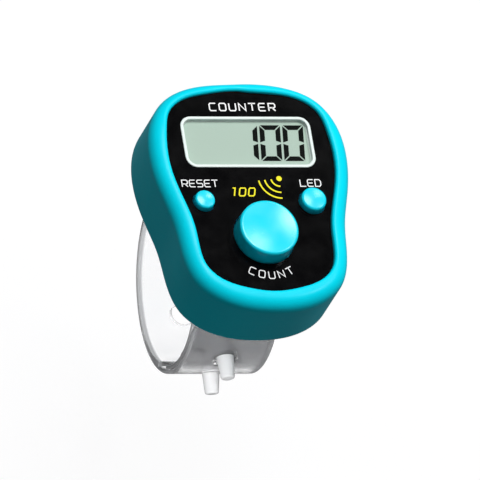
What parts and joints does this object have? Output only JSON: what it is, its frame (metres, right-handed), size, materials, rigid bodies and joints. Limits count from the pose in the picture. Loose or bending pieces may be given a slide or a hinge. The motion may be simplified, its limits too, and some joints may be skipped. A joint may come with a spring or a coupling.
{
  "type": "hand tally counter",
  "caption": "Finger-worn electronic tally counter: pear-shaped case with a digit display, three push keys and a silicone strap loop closed by two pegs.",
  "frame": {"origin": "centre of the finger loop, on its axis and halfway along its width", "axes": "+X along the finger loop's axis, +Y towards the display end of the case, +Z out of the display"},
  "size_m": [0.029, 0.0356, 0.0395],
  "materials": {
    "case_plastic": "moulded turquoise ABS, satin gloss",
    "panel_plastic": "black, fine satin",
    "bezel_plastic": "pale grey, matte",
    "lens_clear": "clear acrylic",
    "lcd_glass": "clear",
    "lcd_film": "grey-green display film",
    "lamp_white": "white lamp package",
    "zebra_rubber": "carbon-loaded, matte",
    "board_laminate": "green solder mask",
    "chip_resin": "black epoxy",
    "capacitor_ceramic": "fired ceramic",
    "keypad_rubber": "grey silicone, matte",
    "cell_steel": "nickel-plated steel can",
    "contact_metal": "sprung sheet",
    "buzzer_brass": "thin brass disc",
    "screw_steel": "zinc-plated",
    "strap_silicone": "milky clear silicone, satin"
  },
  "bodies": {
    "case": {"front_shell": "case_plastic", "back_cover": "case_plastic", "face_panel": "panel_plastic", "back_screws": "screw_steel", "board_screws": "screw_steel", "lcd_bezel": "bezel_plastic", "lcd_window": "lens_clear", "lcd_polariser": "lcd_film", "lcd_front_glass": "lcd_glass", "lcd_rear_glass": "lcd_glass", "lcd_reflector": "lcd_film", "backlight_guide": "lens_clear", "lcd_holder": "lamp_white", "backlight_lamp": "lamp_white", "zebra_strip": "zebra_rubber", "circuit_board": "board_laminate", "chip_blob": "chip_resin", "resistors": "chip_resin", "capacitors": "capacitor_ceramic", "keypad_sheet": "keypad_rubber", "count_dome": "keypad_rubber", "reset_dome": "keypad_rubber", "led_dome": "keypad_rubber", "battery_cell": "cell_steel", "battery_positive_clip": "contact_metal", "battery_negative_spring": "contact_metal", "buzzer_plate": "buzzer_brass", "buzzer_ceramic": "capacitor_ceramic", "strap_base": "strap_silicone"},
    "count_key": {"count_button": "case_plastic", "count_pill": "zebra_rubber"},
    "reset_key": {"reset_button": "case_plastic", "reset_pill": "zebra_rubber"},
    "led_key": {"led_button": "case_plastic", "led_pill": "zebra_rubber"},
    "strap_long_arm": {"strap_arm": "strap_silicone"},
    "strap_free_end": {"strap_end": "strap_silicone"}
  },
  "joints": [
    {"name": "count_press", "type": "slide", "parent": "case", "child": "count_key", "axis": [0, 0, -1], "range_m": [0, 0.0008], "stiffness_N_per_m": 1000, "deforming": ["count_dome"]},
    {"name": "reset_press", "type": "slide", "parent": "case", "child": "reset_key", "axis": [0, 0, -1], "range_m": [0, 0.0006], "stiffness_N_per_m": 1000, "deforming": ["reset_dome"]},
    {"name": "led_press", "type": "slide", "parent": "case", "child": "led_key", "axis": [0, 0, -1], "range_m": [0, 0.0006], "stiffness_N_per_m": 1000, "deforming": ["led_dome"]},
    {"name": "strap_root_flex", "type": "hinge", "parent": "case", "child": "strap_long_arm", "pos_m": [0, 0.00596, 0.01121], "axis": [1, 0, 0], "range_deg": [-17, 0], "stiffness_Nm_per_rad": 0.003},
    {"name": "strap_open", "type": "hinge", "parent": "strap_long_arm", "child": "strap_free_end", "pos_m": [0, -0.00264, -0.01242], "axis": [1, 0, 0], "range_deg": [0, 45], "stiffness_Nm_per_rad": 0.003}
  ],
  "couplings": [
    {"joint": "strap_root_flex", "follows": "strap_open", "ratio": -0.36}
  ]
}
